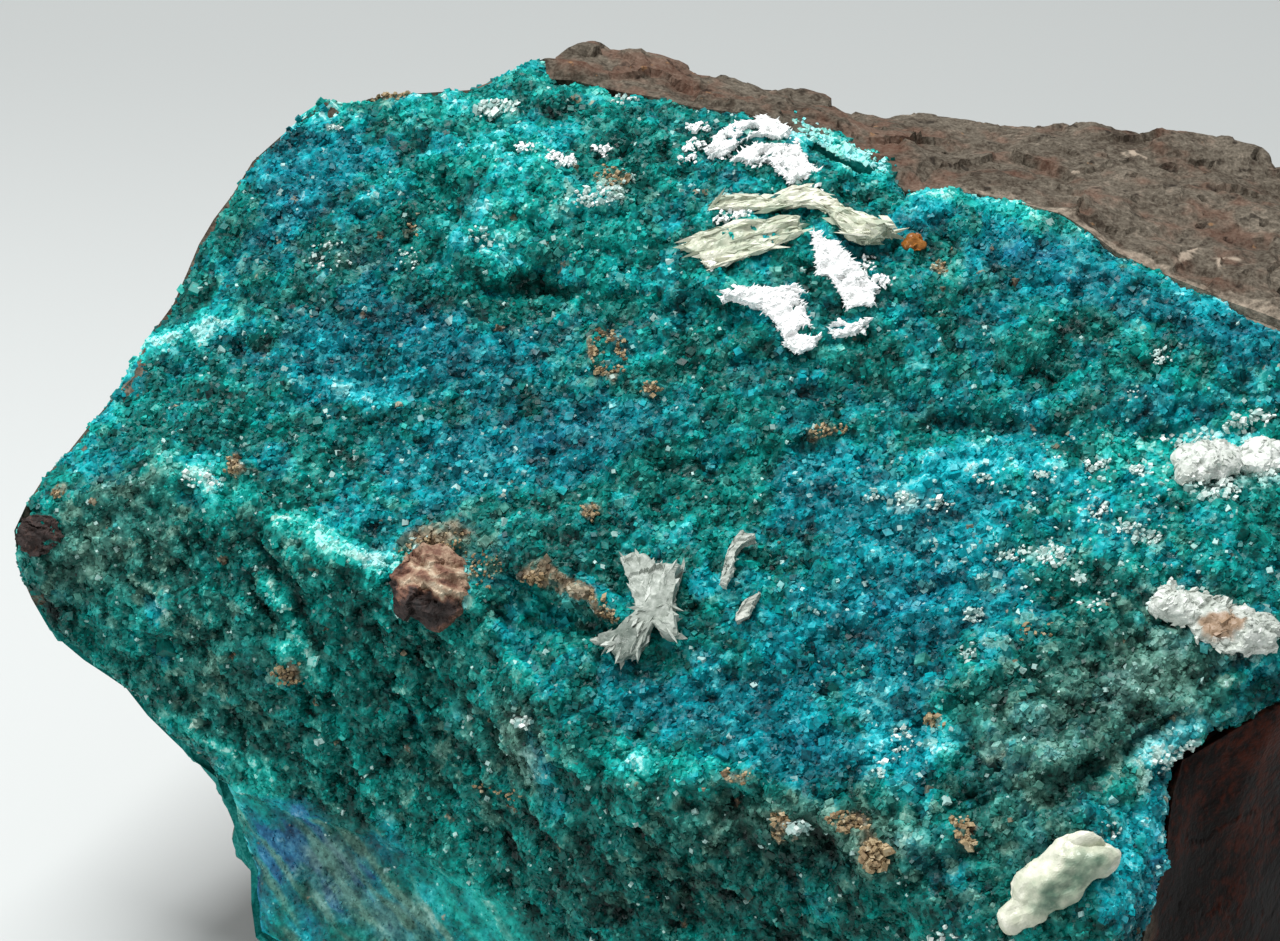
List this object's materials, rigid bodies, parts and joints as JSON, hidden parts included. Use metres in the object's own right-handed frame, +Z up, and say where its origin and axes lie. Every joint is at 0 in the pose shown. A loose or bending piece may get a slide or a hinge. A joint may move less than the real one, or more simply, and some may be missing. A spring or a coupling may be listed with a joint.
{
  "type": "dioptase specimen",
  "caption": "Broken lump of iron-rich rock whose shown side carries a granular green to blue dioptase crust with pale calcite blades and rusty lumps.",
  "frame": {"origin": "middle of the stone's footprint box, on the surface that it rests on", "axes": "+X along the stone's length, from the pointed left end to the thick right end as shown; +Z up; the crust faces -Y and up"},
  "size_m": [0.1214, 0.0816, 0.0743],
  "materials": {
    "matrix": "rough broken iron-rich rock, dull, brown to grey with rusty patches",
    "dioptase": "fine granular crust of tiny glassy crystals, deep green to turquoise and blue, sparkling",
    "calcite": "chalky white to glassy grey-green blades and knots",
    "iron_oxide": "earthy, red-brown to orange, pitted"
  },
  "bodies": {
    "root": {"matrix_rock": "matrix", "dioptase_crust": "dioptase", "calcite_fan_high": "calcite", "calcite_fan_low": "calcite", "calcite_left_blade": "calcite", "calcite_right_blade": "calcite", "calcite_strip": "calcite", "calcite_low_patch": "calcite", "calcite_low_tail": "calcite", "calcite_star": "calcite", "calcite_curved_sliver": "calcite", "calcite_tan_sliver": "calcite", "calcite_knot_left": "calcite", "calcite_knot_right": "calcite", "calcite_knot_low": "calcite", "calcite_low_lump": "calcite", "iron_boss": "iron_oxide", "iron_tip": "iron_oxide", "iron_orange_grain": "iron_oxide"}
  },
  "joints": []
}
